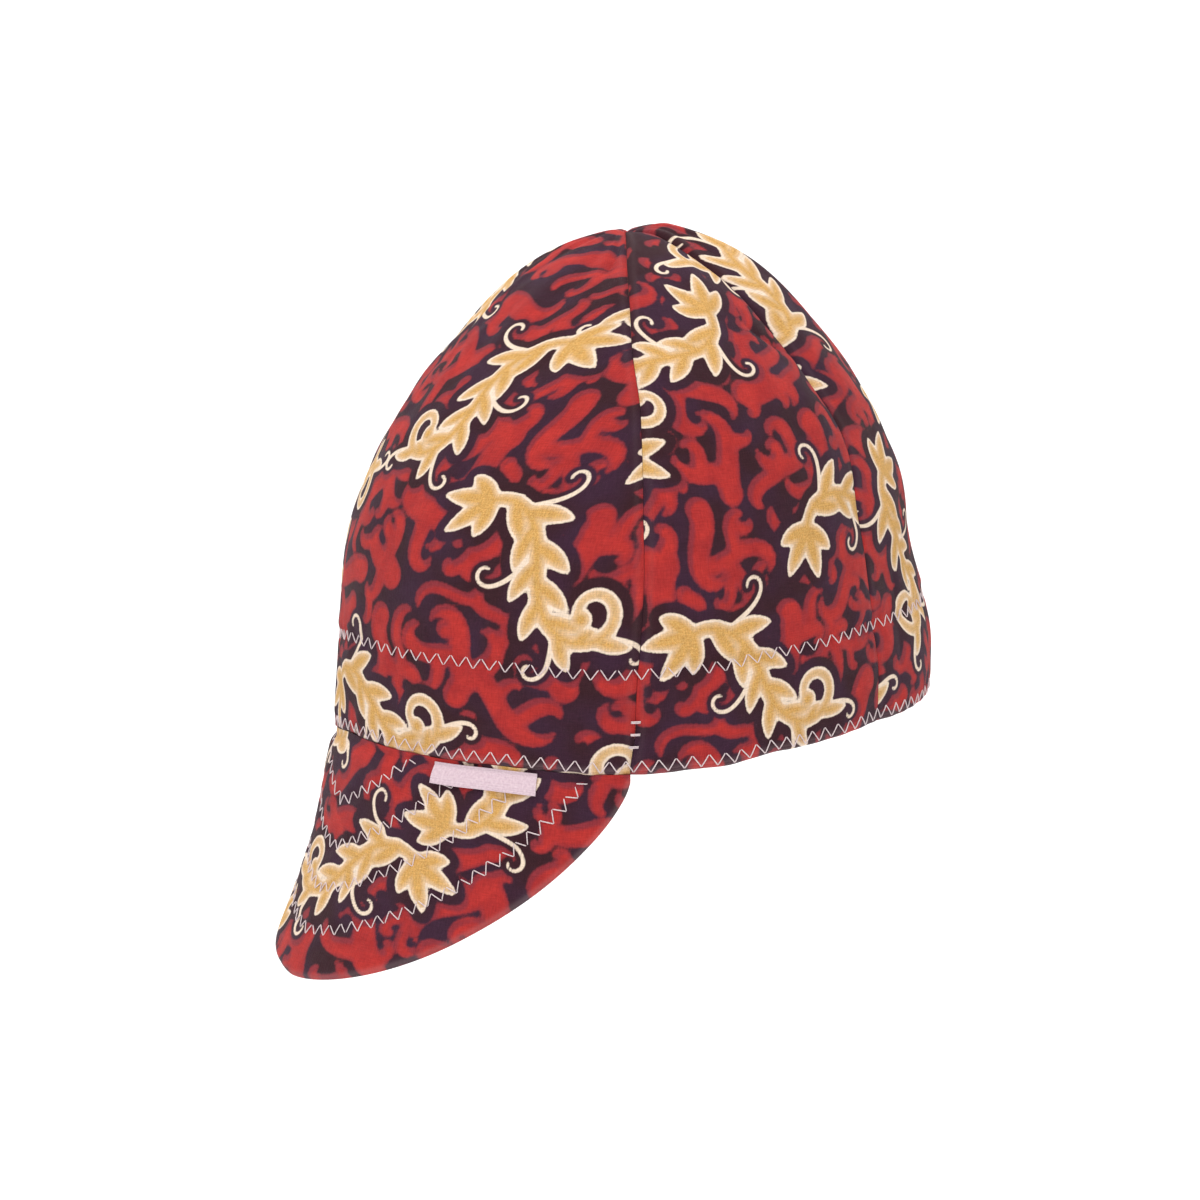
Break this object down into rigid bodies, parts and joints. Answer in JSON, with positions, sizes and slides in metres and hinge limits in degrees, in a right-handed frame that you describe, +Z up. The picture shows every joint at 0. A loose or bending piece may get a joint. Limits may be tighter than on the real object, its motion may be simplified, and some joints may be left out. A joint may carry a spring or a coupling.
{
  "type": "welding cap",
  "caption": "Soft sewn cotton cap with a high domed crown, a stitched band and a short soft bill that hangs steeply down in front.",
  "frame": {"origin": "middle of the head opening, in the level where the cap sits on the head", "axes": "+Z up through the crown, -Y forwards over the bill, +X towards the wearer's left"},
  "size_m": [0.1774, 0.2313, 0.241],
  "materials": {
    "printed_cloth": "matte cotton, red and dark plum print with gold motifs",
    "hem_cloth": "matte cotton, the same cloth turned inwards",
    "bill_cloth": "matte cotton, quilted with zigzag rows",
    "woven_label": "fine woven ribbon, bare"
  },
  "bodies": {
    "root": {"front_panel": "printed_cloth", "side_panel_left": "printed_cloth", "side_panel_right": "printed_cloth", "back_panel_left": "printed_cloth", "back_panel_right": "printed_cloth", "hem_band": "hem_cloth", "bill": "bill_cloth", "label": "woven_label"}
  },
  "joints": []
}
